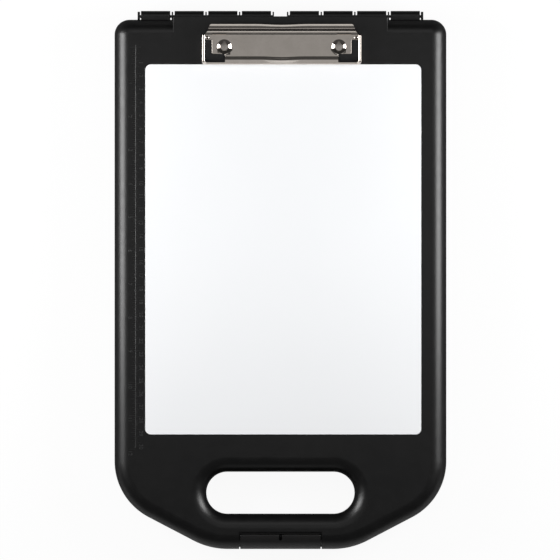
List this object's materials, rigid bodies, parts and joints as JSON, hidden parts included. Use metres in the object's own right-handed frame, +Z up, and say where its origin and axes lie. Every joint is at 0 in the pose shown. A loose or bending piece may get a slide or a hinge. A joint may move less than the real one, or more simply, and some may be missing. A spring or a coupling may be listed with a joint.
{
  "type": "storage clipboard case",
  "caption": "Flat plastic storage case with a hinged lid that serves as a clipboard: carry-handle slot, front latch, white writing panel, low spring clip and moulded ruler.",
  "frame": {"origin": "underside of the tray, in the middle of the overall box", "axes": "+X across the case to the right, +Y along the case towards the hinge, +Z up out of the lid"},
  "size_m": [0.2516, 0.4081, 0.0474],
  "materials": {
    "shell_plastic": "black moulded plastic with a fine even grain",
    "latch_plastic": "black moulded plastic, slightly smoother than the shells",
    "panel_white": "smooth white dry-erase face",
    "tape_foam": "thin double-sided tape",
    "hinge_steel": "blackened steel wire",
    "clip_nickel": "bright nickel plate",
    "pin_steel": "plain steel wire",
    "spring_steel": "oiled spring wire",
    "rivet_steel": "bright nickel plate",
    "washer_steel": "zinc plate",
    "grip_rubber": "soft black rubber"
  },
  "bodies": {
    "tray": {"base_tray": "shell_plastic", "hinge_pin_left": "hinge_steel", "hinge_pin_right": "hinge_steel", "latch_pin": "hinge_steel"},
    "lid": {"lid_shell": "shell_plastic", "writing_panel": "panel_white", "panel_tape": "tape_foam", "clip_base_plate": "clip_nickel", "clip_pivot_pin": "pin_steel", "clip_spring_left": "spring_steel", "clip_spring_right": "spring_steel", "rivet_left": "rivet_steel", "rivet_right": "rivet_steel", "rivet_washer_left": "washer_steel", "rivet_washer_right": "washer_steel"},
    "latch": {"latch": "latch_plastic"},
    "jaw": {"clip_jaw": "clip_nickel", "corner_grip_left": "grip_rubber", "corner_grip_right": "grip_rubber"}
  },
  "joints": [
    {"name": "lid_hinge", "type": "hinge", "parent": "tray", "child": "lid", "pos_m": [0, 0.19985, 0.02415], "axis": [-1, 0, 0], "range_deg": [0, 180]},
    {"name": "latch_hinge", "type": "hinge", "parent": "tray", "child": "latch", "pos_m": [0, -0.20165, 0.0056], "axis": [1, 0, 0], "range_deg": [0, 90]},
    {"name": "clip_pivot", "type": "hinge", "parent": "lid", "child": "jaw", "pos_m": [0.0009, 0.18215, 0.0432], "axis": [-1, 0, 0], "range_deg": [0, 22], "stiffness_Nm_per_rad": 0.35, "springref_deg": -68.75, "deforming": ["clip_spring_left", "clip_spring_right"]}
  ]
}
